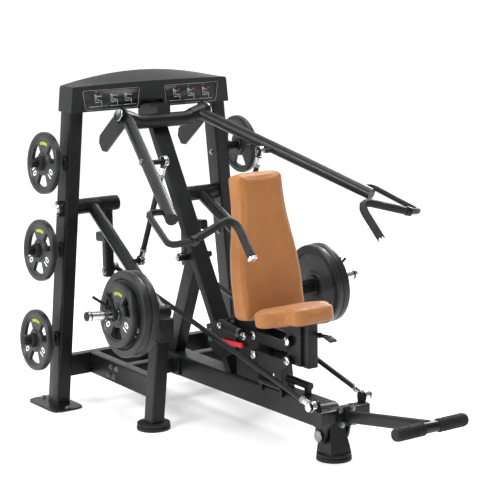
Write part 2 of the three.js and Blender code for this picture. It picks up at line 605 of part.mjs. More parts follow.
// ---------- seat, back pad and their lift ----------
const leanScale = Math.hypot(1, BACK.lean);
const padRear = (z) => {
  const rearFootY = BACK.foot[0] + BACK.thickness / leanScale;
  const rearFootZ = BACK.foot[1] - (BACK.lean * BACK.thickness) / leanScale;
  return rearFootY + BACK.lean * (z - rearFootZ);
};
const seatBottom = (y) => SEAT.low + Math.tan(SEAT.tilt) * (SEAT.middle - y);

function makeTower() {
  const wallOutline = [
    [-620, 505], [-640, 400], [-700, 352], [-790, 352], [-905, 400], [-905, 590], [-870, 590],
  ];
  const walls = [-1, 1].map((side) => slab(wallOutline, side * 44, side * 57));
  const tower = box(-48, 48, -1092, -895, BASE.top + GAP, 600);
  const bridge = box(-57, 57, -905, -850, 395, 590);
  const spineOutline = [
    [-1080, 590], [padRear(700) + 4, 700], [padRear(1180) + 4, 1180], [-960, 1180], [-935, 590],
  ];
  const spine = slab(spineOutline, -24, 24);
  const near = GAP;
  const far = 10;
  const padPlate = slab(
    [
      [padRear(760) + far, 760], [padRear(760) + near, 760],
      [padRear(1150) + near, 1150], [padRear(1150) + far, 1150],
    ],
    -80,
    80,
  );
  const pins = [LINK.upper, LINK.lower].map((z) => rodX(-66, 66, LINK.rear, z, 13));
  const gasPins = [rodX(-112, -50, -835, 545, 11), rodX(-100, -44, -1038, 525, 8)];
  const solid = join(tower, bridge, ...walls, ...pins, ...gasPins, spine, padPlate);
  addPart('seat_tower', cut(solid, mastBar(0.6)), 'paint');
  addPart('guard_bar', bar(vec(-66.5, -790, 447), vec(-66.5, -978, 455), 18, 26, 4), 'red');
  addPart('gas_spring', cut(
    join(
      rod(vec(-88, -800, 546), vec(-88, -980, 530), 26),
      rod(vec(-88, -975, 530.5), vec(-88, -1038, 525), 9),
      rodX(-97, -79, -1038, 525, 15),
    ),
    rodX(-130, -50, -835, 545, 11.5),
    rodX(-130, -50, -1038, 525, 8.4),
  ), 'paint');
}

function makeLink(name, z) {
  const { rear, front, rise } = LINK;
  const path = [[rear, z], [front + 60, z - 22 + rise / 2], [front, z + rise]];
  const cheeks = [-1, 1].map((side) => strap(path, 27, side * 50.5, side * 63));
  const web = box(-51, 51, front + 95, front + 125, z - 16, z + 4);
  const bores = [rodX(-90, 90, rear, z, 13.5), rodX(-90, 90, front, z + rise, 12.5)];
  addPart(name, cut(join(...cheeks, web), ...bores), 'paint');
}

const RELEASE = { y: -1505, z: 596 };

function makeSeatLift() {
  makeLink('upper_link', LINK.upper);
  makeLink('lower_link', LINK.lower);
  const { front, upper, lower, rise } = LINK;
  const column = bar(vec(0, -1480, 432), vec(0, -1480, 680), 64, 58, 10);
  const gussetOutline = [
    [-1462, 436], [-1462, 660], [-1300, 650], [-1345, 575], [-1350, 442], [-1390, 436],
  ];
  const gusset = slab(gussetOutline, -47, 47);
  const pins = [upper, lower].map((z) => rodX(-68, 68, front, z + rise, 12));
  const underSeat = (y, lift) => [y, seatBottom(y) + lift];
  const plate = slab([
    underSeat(-1265, -12), underSeat(-1265, 0), underSeat(-1500, 0), underSeat(-1500, -12),
  ], -110, 110);
  const pivot = rodX(20, 56, RELEASE.y, RELEASE.z, 9);
  const above = slab([
    underSeat(-1100, -GAP), underSeat(-1100, 200), underSeat(-1700, 200), underSeat(-1700, -GAP),
  ], -200, 200);
  addPart('seat_carriage', cut(join(column, gusset, ...pins, plate, pivot), above), 'paint');

  const { y, z } = RELEASE;
  const blade = strap([[y, z], [y - 60, z + 4], [y - 104, z - 8]], 9, 36, 48);
  const hub = rodX(36, 48, y, z, 15);
  const paddle = bar(vec(42, y - 62, z + 4), vec(42, y - 112, z - 10), 46, 12, 4);
  addPart('seat_release_lever', cut(join(blade, hub, paddle), rodX(20, 60, y, z, 9.4)), 'plastic');
}

// A flat outline, symmetric about X = 0, from [distance, half width] pairs.
function padOutline(spots) {
  const right = spots.map(([t, x]) => new THREE.Vector2(x, t));
  const left = spots.map(([t, x]) => new THREE.Vector2(-x, t)).reverse();
  return new THREE.Shape([...right, ...left]);
}

function makePads() {
  const depth = SEAT.rear - SEAT.front;
  const seatSpots = [[0, 120], [0.06, 165], [0.2, 212], [0.35, 227], [0.5, 205], [0.6, 160], [0.7, 130],
    [0.8, 129], [0.92, 128], [1, 92]].map(([t, x]) => [SEAT.rear - t * depth - SEAT.middle, x]);
  const seatSettings = { depth: SEAT.thickness, bevelEnabled: false };
  const seat = new THREE.ExtrudeGeometry(padOutline(seatSpots), seatSettings);
  seat.rotateX(-SEAT.tilt);
  seat.translate(0, SEAT.middle, SEAT.low);
  addPart('seat_pad', toSolid(seat), 'leather');

  const backSpots = [[0, 178], [0.04, 198], [0.15, 204], [0.3, 203], [0.47, 189], [0.6, 171], [0.75, 154],
    [0.96, 143], [1, 127]].map(([t, x]) => [t * BACK.height, x]);
  const backSettings = { depth: BACK.thickness, bevelEnabled: false };
  const back = new THREE.ExtrudeGeometry(padOutline(backSpots), backSettings);
  const up = vec(0, BACK.lean, 1).normalize();
  const rearward = vec(0, 1, -BACK.lean).normalize();
  back.applyMatrix4(new THREE.Matrix4().makeBasis(vec(-1, 0, 0), up, rearward));
  back.translate(0, ...BACK.foot);
  addPart('back_pad', toSolid(back), 'leather');
}

// ---------- assembly ----------
for (const [name, side] of SIDES) {
  makeUpright(name, side);
  makeWeightShaft(name, side);
  makeSide(name, side);
  makePressArm(name, side);
  makePushRod(name, side);
  makeWeightArm(name, side);
  makeHornLoad(name, side);
  makeStorage(name, side);
  makeAssist(name, side);
}
makeHeader();
makeBase();
makeMast();
makePivotTube();
makeFootLever();
makeTower();
makeSeatLift();
makePads();

export default machine;
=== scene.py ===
"""Chest press machine: finishes, soft pads, plates and fittings on the CAD frame, in metres."""
import math

import bmesh
import bpy
from mathutils import Matrix, Vector


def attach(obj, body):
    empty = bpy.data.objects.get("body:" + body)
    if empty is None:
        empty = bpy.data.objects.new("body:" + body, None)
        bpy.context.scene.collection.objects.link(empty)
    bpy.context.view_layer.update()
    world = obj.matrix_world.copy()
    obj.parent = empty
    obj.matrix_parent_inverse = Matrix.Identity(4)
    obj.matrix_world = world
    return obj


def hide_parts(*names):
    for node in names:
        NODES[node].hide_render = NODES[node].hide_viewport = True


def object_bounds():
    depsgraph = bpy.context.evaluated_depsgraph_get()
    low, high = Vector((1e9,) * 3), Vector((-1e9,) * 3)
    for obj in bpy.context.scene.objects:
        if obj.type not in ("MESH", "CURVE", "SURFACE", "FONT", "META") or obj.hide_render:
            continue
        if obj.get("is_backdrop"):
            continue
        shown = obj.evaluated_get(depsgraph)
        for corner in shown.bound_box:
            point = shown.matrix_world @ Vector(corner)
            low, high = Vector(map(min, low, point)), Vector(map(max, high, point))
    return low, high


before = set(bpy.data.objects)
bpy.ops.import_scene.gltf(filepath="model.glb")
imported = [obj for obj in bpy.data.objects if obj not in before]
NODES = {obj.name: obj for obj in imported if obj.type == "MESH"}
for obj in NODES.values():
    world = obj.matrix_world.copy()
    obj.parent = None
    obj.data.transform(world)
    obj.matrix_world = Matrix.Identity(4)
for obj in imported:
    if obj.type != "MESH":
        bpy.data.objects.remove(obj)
SIDES = (("left", -1), ("right", 1))

# ---------- driving dimensions ----------
RIG_SHIFT = 1.10125  # the uprights' front face lies at this Y
SPLAY = 0.0868  # outward lean of uprights and horns, as a slope
UPRIGHT_FOOT = 0.651  # outer face of an upright at floor level
SHAFT = (0.0575, 1.105)  # Y and Z of the weight shafts
LEVER_AXLE = (-1.656, 0.128)  # Y and Z of the foot lever's axle
LEVER_EAR = (-1.715, 0.308)  # Y and Z of the assist rods' front eyes
LINK_HEIGHTS = {"upper": 0.530, "lower": 0.428}
LINK_SPAN = {"rear": -1.077, "front": -1.375, "rise": 0.026}
ROD_TOP = Vector((0.308, -0.630, 1.419))
ROD_FOOT = Vector((0.322, -0.392, 0.856))
PEG_HEIGHTS = {"top": 1.357, "middle": 0.878, "low": 0.378}
PEG_FLANGE = 0.096
PEG_LENGTH = 0.198
SMALL_PLATE = {"radius": 0.170, "thickness": 0.038, "through": True}
LARGE_PLATE = {"radius": 0.225, "thickness": 0.045, "through": False}
PLATE_GAP = 0.0006
HORN_FLANGE = (0.570, -0.753, 0.6609)
HUB_AXIS = Vector((0.936, -0.124, 0.329)).normalized()
TOP_PIVOT = Vector((0.152, -0.127, 1.571))
GRIP_BEND = Vector((0.386, -1.376, 1.236))
GRIP_TIP = Vector((0.403, -1.554, 1.054))
HEADER_FRONT = -0.025
SEAT = {
    "rear": -1.232, "front": -1.554, "middle": -1.350, "low": 0.640, "thickness": 0.084, "tilt": 0.166,
}
BACK = {"foot": (-1.200, 0.644), "lean": 0.18, "height": 0.750, "thickness": 0.112}
FOOT_BAR = (-2.399, 0.336)
# share of a pad's thickness, and how far its outline pulls in there
PAD_RIMS = (
    (0.0, 0.009), (0.05, 0.004), (0.12, 0.002), (0.86, 0.002), (0.94, 0.005), (0.985, 0.010), (1.0, 0.016),
)
PAD_SLACK = 0.006  # left out of a pad's thickness, because it swells
PAD_SWELL = 0.007  # the furthest a point of a pad may move


def size_note(name):
    low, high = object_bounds()
    return {name: [list(low), list(high)]}


sizes = size_note("loaded")


def rig(x, y, z):
    return Vector((x, y + RIG_SHIFT, z))


# ---------- node materials ----------
class Shader:
    """A Principled material whose colour, roughness and bump come from object-space noise."""

    def __init__(self, name, roughness, metallic=0.0, specular=0.5):
        self.material = bpy.data.materials.new(name)
        self.material.use_nodes = True
        self.nodes = self.material.node_tree.nodes
        self.links = self.material.node_tree.links
        self.surface = self.nodes["Principled BSDF"]
        self.surface.inputs["Roughness"].default_value = roughness
        self.surface.inputs["Metallic"].default_value = metallic
        self.surface.inputs["Specular IOR Level"].default_value = specular
        self.place = self.nodes.new("ShaderNodeTexCoord").outputs["Object"]
        self.height = None

    def noise(self, scale, detail=4.0, rough=0.55):
        node = self.nodes.new("ShaderNodeTexNoise")
        node.inputs["Scale"].default_value = scale
        node.inputs["Detail"].default_value = detail
        node.inputs["Roughness"].default_value = rough
        self.links.new(self.place, node.inputs["Vector"])
        return node.outputs["Fac"]

    def cells(self, scale, feature="DISTANCE_TO_EDGE"):
        node = self.nodes.new("ShaderNodeTexVoronoi")
        node.feature = feature
        node.inputs["Scale"].default_value = scale
        self.links.new(self.place, node.inputs["Vector"])
        return node.outputs["Distance"]

    def span(self, value, low, high, to_low, to_high):
        node = self.nodes.new("ShaderNodeMapRange")
        ends = (low, high, to_low, to_high)
        for name, end in zip(("From Min", "From Max", "To Min", "To Max"), ends):
            node.inputs[name].default_value = end
        self.links.new(value, node.inputs["Value"])
        return node.outputs["Result"]

    def colour(self, value, dark, light, low=0.35, high=0.65):
        ramp = self.nodes.new("ShaderNodeValToRGB")
        ramp.color_ramp.elements[0].position = low
        ramp.color_ramp.elements[1].position = high
        ramp.color_ramp.elements[0].color = (*dark, 1.0)
        ramp.color_ramp.elements[1].color = (*light, 1.0)
        self.links.new(value, ramp.inputs["Fac"])
        self.links.new(ramp.outputs["Color"], self.surface.inputs["Base Color"])

    def roughness(self, value, low, high):
        self.links.new(self.span(value, 0.3, 0.7, low, high), self.surface.inputs["Roughness"])

    def bump(self, value, distance, strength=1.0):
        node = self.nodes.new("ShaderNodeBump")
        node.inputs["Strength"].default_value = strength
        node.inputs["Distance"].default_value = distance
        self.links.new(value, node.inputs["Height"])
        if self.height is not None:
            self.links.new(self.height, node.inputs["Normal"])
        self.height = node.outputs["Normal"]
        self.links.new(self.height, self.surface.inputs["Normal"])


def paint_material(name, dark, light, rough=(0.36, 0.5)):
    shader = Shader(name, rough[0], specular=0.30)
    broad = shader.noise(7.0, 3.0)
    shader.colour(broad, dark, light)
    shader.roughness(shader.noise(23.0, 5.0), *rough)
    shader.bump(shader.noise(900.0, 2.0), 0.00012, 0.5)
    shader.bump(shader.noise(160.0, 2.0), 0.0002, 0.25)
    return shader.material


def moulded_material(name, dark, light, rough, grain=1400.0, depth=0.00025):
    shader = Shader(name, rough[0], specular=0.35)
    shader.colour(shader.noise(11.0, 4.0), dark, light)
    shader.roughness(shader.noise(40.0, 4.0), *rough)
    shader.bump(shader.noise(grain, 3.0), depth, 0.6)
    return shader.material


def metal_material(name, dark, light, rough):
    shader = Shader(name, rough[0], metallic=1.0)
    shader.colour(shader.noise(30.0, 3.0), dark, light)
    shader.roughness(shader.noise(55.0, 5.0), *rough)
    shader.bump(shader.noise(600.0, 2.0), 0.00005, 0.3)
    return shader.material


def leather_material(name, dark, light):
    shader = Shader(name, 0.46, specular=0.42)
    mottle = shader.noise(9.0, 6.0, 0.6)
    shader.colour(mottle, dark, light, 0.3, 0.7)
    shader.roughness(shader.noise(60.0, 4.0), 0.4, 0.56)
    shader.bump(shader.noise(14.0, 3.0), 0.004, 0.2)
    grain = shader.span(shader.cells(520.0), 0.0, 0.25, 0.0, 1.0)
    shader.bump(grain, 0.0004, 0.5)
    shader.surface.inputs["Sheen Weight"].default_value = 0.08
    return shader.material


MATERIALS = {
    "paint": paint_material("frame paint", (0.0045, 0.0048, 0.005), (0.0075, 0.008, 0.0084), (0.30, 0.42)),
    "header": moulded_material("header plastic", (0.007, 0.0075, 0.008), (0.011, 0.0115, 0.012), (0.36, 0.5)),
    "rubber": moulded_material(
        "black rubber", (0.007, 0.007, 0.0075), (0.012, 0.012, 0.0125), (0.55, 0.75), 700.0,
    ),
    "plate": moulded_material(
        "plate rubber", (0.013, 0.0135, 0.014), (0.020, 0.0205, 0.021), (0.28, 0.42), 1100.0,
    ),
    "plate_web": moulded_material(
        "plate recess", (0.030, 0.031, 0.032), (0.044, 0.045, 0.046), (0.36, 0.5), 1100.0,
    ),
    "chrome": metal_material("chrome", (0.72, 0.73, 0.74), (0.82, 0.83, 0.84), (0.08, 0.18)),
    "steel": metal_material("dark zinc", (0.22, 0.23, 0.24), (0.34, 0.35, 0.36), (0.25, 0.4)),
    "red": paint_material("red paint", (0.62, 0.02, 0.035), (0.72, 0.035, 0.05), (0.3, 0.4)),
    "leather": leather_material("upholstery", (0.345, 0.132, 0.034), (0.405, 0.160, 0.045)),
    "print_grey": moulded_material("grey print", (0.22, 0.23, 0.24), (0.30, 0.31, 0.32), (0.5, 0.6)),
    "print_white": moulded_material("white print", (0.80, 0.81, 0.80), (0.88, 0.89, 0.88), (0.45, 0.6)),
    "print_green": moulded_material("green print", (0.34, 0.40, 0.03), (0.42, 0.48, 0.05), (0.45, 0.6)),
    "print_red": moulded_material("red print", (0.40, 0.03, 0.03), (0.52, 0.05, 0.05), (0.45, 0.6)),
    "panel": moulded_material("placard panel", (0.007, 0.007, 0.008), (0.011, 0.011, 0.012), (0.3, 0.4)),
}


# ---------- making pieces ----------
AXIS_HOLE = 0.0004  # a turned cap stays open by this radius at its axis
CAP_CROWN = 0.2  # the dome's rise, as a share of the cap's height
CAP_SHOULDER = 0.86  # where the dome starts, as a share of the cap's radius
WASHER = {"reach": 1.45, "thickness": 0.002}
BOLT_HEIGHT = 0.7  # as a share of the hexagon's radius


def soften(obj, width, limit=38.0, segments=2):
    """Welds a mesh, rounds its hard edges and shades the rest smooth."""
    for polygon in obj.data.polygons:
        polygon.use_smooth = True
    weld = obj.modifiers.new("weld", "WELD")
    weld.merge_threshold = 0.00002
    bevel = obj.modifiers.new("edges", "BEVEL")
    bevel.width = width
    bevel.segments = segments
    bevel.limit_method = "ANGLE"
    bevel.angle_limit = math.radians(limit)
    normals = obj.modifiers.new("normals", "WEIGHTED_NORMAL")
    normals.keep_sharp = False


def piece(name, mesh_builder, material, body, width=0.0008):
    """A new mesh piece from a bmesh, on a body, with one material."""
    mesh = bpy.data.meshes.new(name)
    mesh_builder.to_mesh(mesh)
    mesh_builder.free()
    mesh.materials.append(MATERIALS[material])
    obj = bpy.data.objects.new(name, mesh)
    bpy.context.collection.objects.link(obj)
    if width:
        soften(obj, width)
    else:
        for polygon in mesh.polygons:
            polygon.use_smooth = True
    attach(obj, body)
    return obj


def thicken(obj, thickness):
    """Gives a flat piece a thickness, centred on its plane."""
    thick = obj.modifiers.new("thickness", "SOLIDIFY")
    thick.thickness = thickness
    thick.offset = 0.0


def turned_matrix(origin, axis):
    return Matrix.Translation(origin) @ Vector(axis).to_track_quat("Z", "Y").to_matrix().to_4x4()


def lathe(bm, origin, axis, profile, sides=40):
    """Turns [radius, height] pairs about an axis; the profile closes on itself."""
    place = turned_matrix(origin, axis)
    rings = []
    for step in range(sides):
        angle = 2.0 * math.pi * step / sides
        spoke = Vector((math.cos(angle), math.sin(angle), 0.0))
        rings.append([bm.verts.new(place @ (spoke * r + Vector((0.0, 0.0, z)))) for r, z in profile])
    count = len(profile)
    for step in range(sides):
        here = rings[step]
        there = rings[(step + 1) % sides]
        for i in range(count):
            j = (i + 1) % count
            bm.faces.new((here[i], there[i], there[j], here[j]))
    bmesh.ops.recalc_face_normals(bm, faces=bm.faces)


def turned(name, origin, axis, profile, material, body, sides=40, width=0.0008):
    bm = bmesh.new()
    lathe(bm, origin, axis, profile, sides)
    return piece(name, bm, material, body, width)


def cap(name, origin, axis, size, body, material="chrome", sides=40):
    """A domed cap of the given (radius, height)."""
    radius, height = size
    rise = height * CAP_CROWN
    shoulder = (radius * CAP_SHOULDER, height)
    profile = [(AXIS_HOLE, 0.0), (radius, 0.0), (radius, height - rise), shoulder, (AXIS_HOLE, height + rise)]
    return turned(name, origin, axis, profile, material, body, sides)


def eye_profile(inner, shoulder, crown, half):
    """The shell of a rod's eye."""
    return [(inner, -half), (shoulder, -half), (crown, 0.0), (shoulder, half), (inner, half)]


def sleeve_profile(inner, outer, length, edge=0.001):
    """A nut or a threaded sleeve with broken edges."""
    return [(inner, 0.0), (outer, edge), (outer, length - edge), (inner, length)]


def prism(bm, origin, axis, outline, depth):
    """Pushes a flat outline of [x, y] points along an axis."""
    place = turned_matrix(origin, axis)
    low = [bm.verts.new(place @ Vector((x, y, 0.0))) for x, y in outline]
    high = [bm.verts.new(place @ Vector((x, y, depth))) for x, y in outline]
    bm.faces.new(low)
    bm.faces.new(high)
    for i in range(len(outline)):
        j = (i + 1) % len(outline)
        bm.faces.new((low[i], low[j], high[j], high[i]))
    bmesh.ops.recalc_face_normals(bm, faces=bm.faces)


def bolt(name, origin, axis, body, radius=0.011, material="steel"):
    """A hexagon head on a washer."""
    origin = Vector(origin)
    axis = Vector(axis).normalized()
    bm = bmesh.new()
    rim = radius * WASHER["reach"]
    top = WASHER["thickness"]
    lathe(bm, origin, axis, [(AXIS_HOLE, 0.0), (rim, 0.0), (rim, top), (AXIS_HOLE, top)], 28)
    hexagon = [(radius * math.cos(math.pi * k / 3), radius * math.sin(math.pi * k / 3)) for k in range(6)]
    prism(bm, origin + axis * top, axis, hexagon, radius * BOLT_HEIGHT)
    return piece(name, bm, material, body)


def tube(name, points, radius, material, body, cyclic=False):
    """A round wire through the points."""
    curve = bpy.data.curves.new(name, "CURVE")
    curve.dimensions = "3D"
    curve.bevel_depth = radius
    curve.bevel_resolution = 3
    spline = curve.splines.new("POLY")
    spline.points.add(len(points) - 1)
    for point, place in zip(spline.points, points):
        point.co = (*place, 1.0)
    spline.use_cyclic_u = cyclic
    curve.materials.append(MATERIALS[material])
    obj = bpy.data.objects.new(name, curve)
    bpy.context.collection.objects.link(obj)
    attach(obj, body)
    return obj


def lettering(name, text, size, place, material, body):
    """Raised text, flat on the plane that the matrix gives."""
    curve = bpy.data.curves.new(name, "FONT")
    curve.body = text
    curve.size = size
    curve.align_x = "CENTER"
    curve.align_y = "CENTER"
    curve.extrude = 0.0006
    curve.offset = size * 0.015
    curve.materials.append(MATERIALS[material])
    obj = bpy.data.objects.new(name, curve)
    bpy.context.collection.objects.link(obj)
    obj.matrix_world = place
    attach(obj, body)
    return obj


# ---------- CAD nodes that stay ----------
EDGE = 0.0025  # rounding of the CAD nodes' edges
SMALL_EDGES = {"push_rod": 0.001, "link": 0.0012, "spring_clip": 0.001, "release": 0.002}


FINISHES = {
    "header_shroud": "header", "front_foot": "rubber", "post_foot": "rubber", "stop_bumper": "rubber",
    "hand_grip": "rubber", "foot_grip": "rubber", "spring_clip": "rubber", "weight_shaft": "chrome",
    "horn_sleeve": "chrome", "guard_bar": "red", "seat_release_lever": "rubber",
}


def finish_for(node):
    """The material for a node, by the ending of its name."""
    for ending, material in FINISHES.items():
        if node.endswith(ending):
            return material
    return "paint"


for node, obj in NODES.items():
    obj.data.materials.clear()
    obj.data.materials.append(MATERIALS[finish_for(node)])
    edge = next((width for word, width in SMALL_EDGES.items() if word in node), EDGE)
    soften(obj, edge, 40.0)


# ---------- weight plates ----------
PLATE_STEPS = 96
WEB_SHARE = 0.55  # the web's thickness, as a share of the rim's
WEB_SECTIONS = (2, 3, 4)  # counted from the bore
WINDOW_SECTION = 3
WINDOW_HALF_ANGLE = 0.47
RECESS = {"slope": 0.006, "share": 0.35}  # of a blind window
NUMERAL = {"reach": 0.62, "size": 0.33, "angles": (("a", 210), ("b", 330))}
BADGE = {"inner": 0.59, "outer": 0.69, "start": 69.0, "step": 3.5, "count": 12}


def lean_axis(side):
    return Vector((side, 0.0, SPLAY)).normalized()


def plate_frame(centre, side):
    """Local X runs across the machine's depth, Y upwards and Z outwards along the peg."""
    out = lean_axis(side)
    across = Vector((0.0, side, 0.0))
    up = out.cross(across)
    columns = Matrix((across, up, out)).transposed().to_4x4()
    return Matrix.Translation(centre) @ columns


def plate_sections(radius, half):
    """[radius, half thickness] pairs from the bore out to the rim."""
    hub = radius * 0.33
    web = half * WEB_SHARE
    return [
        (0.0262, half), (hub, half), (hub + 0.004, half * 0.62), (radius * 0.40, web),
        (radius * 0.76, web), (radius * 0.80, half * 0.66), (radius * 0.83, half),
        (radius - 0.006, half), (radius, half * 0.62),
    ]


def window_step(angle):
    """How far an angle lies from the nearest grip window's middle."""
    third = 2.0 * math.pi / 3.0
    return abs((angle + math.pi / 2.0 + third / 2.0) % third - third / 2.0)


def plate_grid(bm, place, sections, sign):
    """One face of a plate, as a column of vertices from bore to rim at each step."""
    grid = []
    for k in range(PLATE_STEPS):
        angle = 2.0 * math.pi * k / PLATE_STEPS
        spoke = Vector((math.cos(angle), math.sin(angle), 0.0))
        grid.append([bm.verts.new(place @ (spoke * r + Vector((0, 0, sign * h)))) for r, h in sections])
    return grid


def close_window(bm, front, back):
    """Walls off a window's end between the plate's two faces."""
    inner = WINDOW_SECTION
    outer = WINDOW_SECTION + 1
    bm.faces.new((front[inner], front[outer], back[outer], back[inner])).material_index = 1


def weight_plate(name, node, body, centre, side, size):
    """A three-grip plate, with open windows on a through plate and blind recesses on the others."""
    radius = size["radius"]
    half = size["thickness"] / 2.0
    through = size["through"]
    place = plate_frame(centre, side)
    sections = plate_sections(radius, half)
    bm = bmesh.new()
    front = plate_grid(bm, place, sections, 1)
    back = plate_grid(bm, place, sections, -1)
    middles = [2.0 * math.pi * (k + 0.5) / PLATE_STEPS for k in range(PLATE_STEPS)]
    is_window = [window_step(angle) < WINDOW_HALF_ANGLE for angle in middles]
    recesses = []
    for k in range(PLATE_STEPS):
        n = (k + 1) % PLATE_STEPS
        for i in range(len(sections) - 1):
            in_window = i == WINDOW_SECTION and is_window[k]
            if in_window and through:
                continue
            for grid in (front, back):
                corners = (grid[k][i], grid[n][i], grid[n][i + 1], grid[k][i + 1])
                face = bm.faces.new(corners if grid is front else corners[::-1])
                if i in WEB_SECTIONS:
                    face.material_index = 1
                if in_window:
                    recesses.append(face)
        for i in (0, len(sections) - 1):
            wall = (front[k][i], back[k][i], back[n][i], front[n][i])
            bm.faces.new(wall if i == 0 else wall[::-1])
        if through and is_window[k]:
            for i in (WINDOW_SECTION, WINDOW_SECTION + 1):
                wall = (front[k][i], front[n][i], back[n][i], back[k][i])
                bm.faces.new(wall).material_index = 1
            if not is_window[k - 1]:
                close_window(bm, front[k], back[k])
            if not is_window[n]:
                close_window(bm, front[n], back[n])
    if recesses:
        depth = -half * RECESS["share"]
        sunk = bmesh.ops.inset_region(bm, faces=recesses, thickness=RECESS["slope"], depth=depth)
        for face in sunk["faces"]:
            face.material_index = 1
    bmesh.ops.recalc_face_normals(bm, faces=bm.faces)
    obj = piece(name, bm, "plate", body, 0.0022)
    obj.data.materials.append(MATERIALS["plate_web"])
    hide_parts(node)
    plate_marks(name, body, place, radius, half)
    return obj


def plate_marks(name, body, place, radius, half):
    """A steel bushing, two numerals and a plain printed badge on the outer face."""
    out = (place.to_3x3() @ Vector((0, 0, 1))).normalized()
    centre = place.to_translation()
    bush = [(0.0257, -half - 0.001), (0.034, -half - 0.001), (0.034, half + 0.0012), (0.0257, half + 0.0012)]
    turned(f"{name}_bushing", centre, out, bush, "chrome", body, 48)
    reach = radius * NUMERAL["reach"]
    web = half * WEB_SHARE
    for label, degrees in NUMERAL["angles"]:
        angle = math.radians(degrees)
        spot = Vector((reach * math.cos(angle), reach * math.sin(angle), web + 0.0004))
        spin = Matrix.Rotation(angle + math.pi / 2.0, 4, "Z")
        lettering(f"{name}_numeral_{label}", "10", radius * NUMERAL["size"],
                  place @ Matrix.Translation(spot) @ spin, "print_white", body)
    bm = bmesh.new()
    outer = []
    inner = []
    lift = Vector((0.0, 0.0, web + 0.0006))
    for k in range(BADGE["count"] + 1):
        angle = math.radians(BADGE["start"] + BADGE["step"] * k)
        spoke = Vector((math.cos(angle), math.sin(angle), 0.0))
        outer.append(bm.verts.new(place @ (spoke * radius * BADGE["outer"] + lift)))
        inner.append(bm.verts.new(place @ (spoke * radius * BADGE["inner"] + lift)))
    for k in range(BADGE["count"]):
        bm.faces.new((inner[k], inner[k + 1], outer[k + 1], outer[k]))
    bmesh.ops.recalc_face_normals(bm, faces=bm.faces)
    badge = piece(f"{name}_badge", bm, "print_green", body, 0)
    thicken(badge, 0.0008)


def peg_point(side, height, along):
    root = rig(side * (UPRIGHT_FOOT - SPLAY * height), SHAFT[0], height)
    return root + lean_axis(side) * along


def horn_point(side, along):
    return rig(side * HORN_FLANGE[0], HORN_FLANGE[1], HORN_FLANGE[2]) + lean_axis(side) * along


def make_plates():
    for word, side in SIDES:
        for level, height in PEG_HEIGHTS.items():
            name = f"{word}_storage_plate_{level}"
            along = PEG_FLANGE + PLATE_GAP + SMALL_PLATE["thickness"] / 2.0
            weight_plate(f"{name}_disc", name, name, peg_point(side, height, along), side, SMALL_PLATE)
        reach = 0.0015
        for label, size in (("inner", LARGE_PLATE), ("middle", LARGE_PLATE), ("outer", SMALL_PLATE)):
            centre = horn_point(side, reach + size["thickness"] / 2.0)
            node = f"{word}_horn_plate_{label}"
            weight_plate(f"{node}_disc", node, f"{word}_weight_arm", centre, side, size)
            reach += size["thickness"] + PLATE_GAP


# ---------- pads ----------
def inset_outline(outline, inset):
    """The closed outline moved inwards by a distance, point by point."""
    moved = []
    for i, point in enumerate(outline):
        along = outline[(i + 1) % len(outline)] - outline[i - 1]
        inward = Vector((-along.y, along.x)).normalized()
        moved.append(point + inward * inset)
    return moved


def pad_shape(name, spots, thickness, place):
    """A closed pad from [distance, half width] pairs, with rounded rims, ready for inflation."""
    right = [Vector((x, t)) for t, x in spots]
    left = [Vector((-x, t)) for t, x in reversed(spots)]
    outline = right + left
    if spots[0][0] > spots[-1][0]:
        outline.reverse()
    bm = bmesh.new()
    layers = []
    for height, inset in PAD_RIMS:
        ring = inset_outline(outline, inset)
        layers.append([bm.verts.new(place @ Vector((p.x, p.y, thickness * height))) for p in ring])
    for below, above in zip(layers, layers[1:]):
        for i in range(len(outline)):
            j = (i + 1) % len(outline)
            bm.faces.new((below[i], below[j], above[j], above[i]))
    bm.faces.new(layers[0])
    bm.faces.new(layers[-1])
    bmesh.ops.recalc_face_normals(bm, faces=bm.faces)
    mesh = bpy.data.meshes.new(name)
    bm.to_mesh(mesh)
    bm.free()
    obj = bpy.data.objects.new(name, mesh)
    bpy.context.collection.objects.link(obj)
    return obj


def apply_all(obj):
    graph = bpy.context.evaluated_depsgraph_get()
    mesh = bpy.data.meshes.new_from_object(obj.evaluated_get(graph))
    obj.modifiers.clear()
    obj.data = mesh


def smooth_spots(spots, steps=40):
    """A smooth run of [distance, half width] pairs through the given ones."""
    result = []
    count = len(spots) - 1
    for k in range(steps + 1):
        u = k * count / steps
        i = min(int(u), count - 1)
        f = u - i
        p = [spots[max(0, min(count, i + d))] for d in (-1, 0, 1, 2)]
        pair = []
        for c in (0, 1):
            a, b, d, e = (q[c] for q in p)
            pair.append(0.5 * (2 * b + (d - a) * f + (2 * a - 5 * b + 4 * d - e) * f * f
                               + (3 * b - a - 3 * d + e) * f ** 3))
        result.append(tuple(pair))
    return result


CLOTH_STEPS = 14


def inflate(obj, pressure=4.0, voxel=0.006):
    """Puffs the pad up as cloth under pressure, with a limit on how far a point may move."""
    remesh = obj.modifiers.new("voxels", "REMESH")
    remesh.mode = "VOXEL"
    remesh.voxel_size = voxel
    apply_all(obj)
    start = [v.co.copy() for v in obj.data.vertices]
    cloth = obj.modifiers.new("cloth", "CLOTH")
    cloth.settings.use_pressure = True
    cloth.settings.uniform_pressure_force = pressure
    cloth.settings.effector_weights.gravity = 0.0
    cloth.settings.quality = 4
    cloth.point_cache.frame_start = 1
    cloth.point_cache.frame_end = CLOTH_STEPS
    scene = bpy.context.scene
    for step in range(1, CLOTH_STEPS + 1):
        scene.frame_set(step)
    apply_all(obj)
    scene.frame_set(1)
    for vertex, origin in zip(obj.data.vertices, start):
        move = vertex.co - origin
        if move.length > PAD_SWELL:
            vertex.co = origin + move * (PAD_SWELL / move.length)


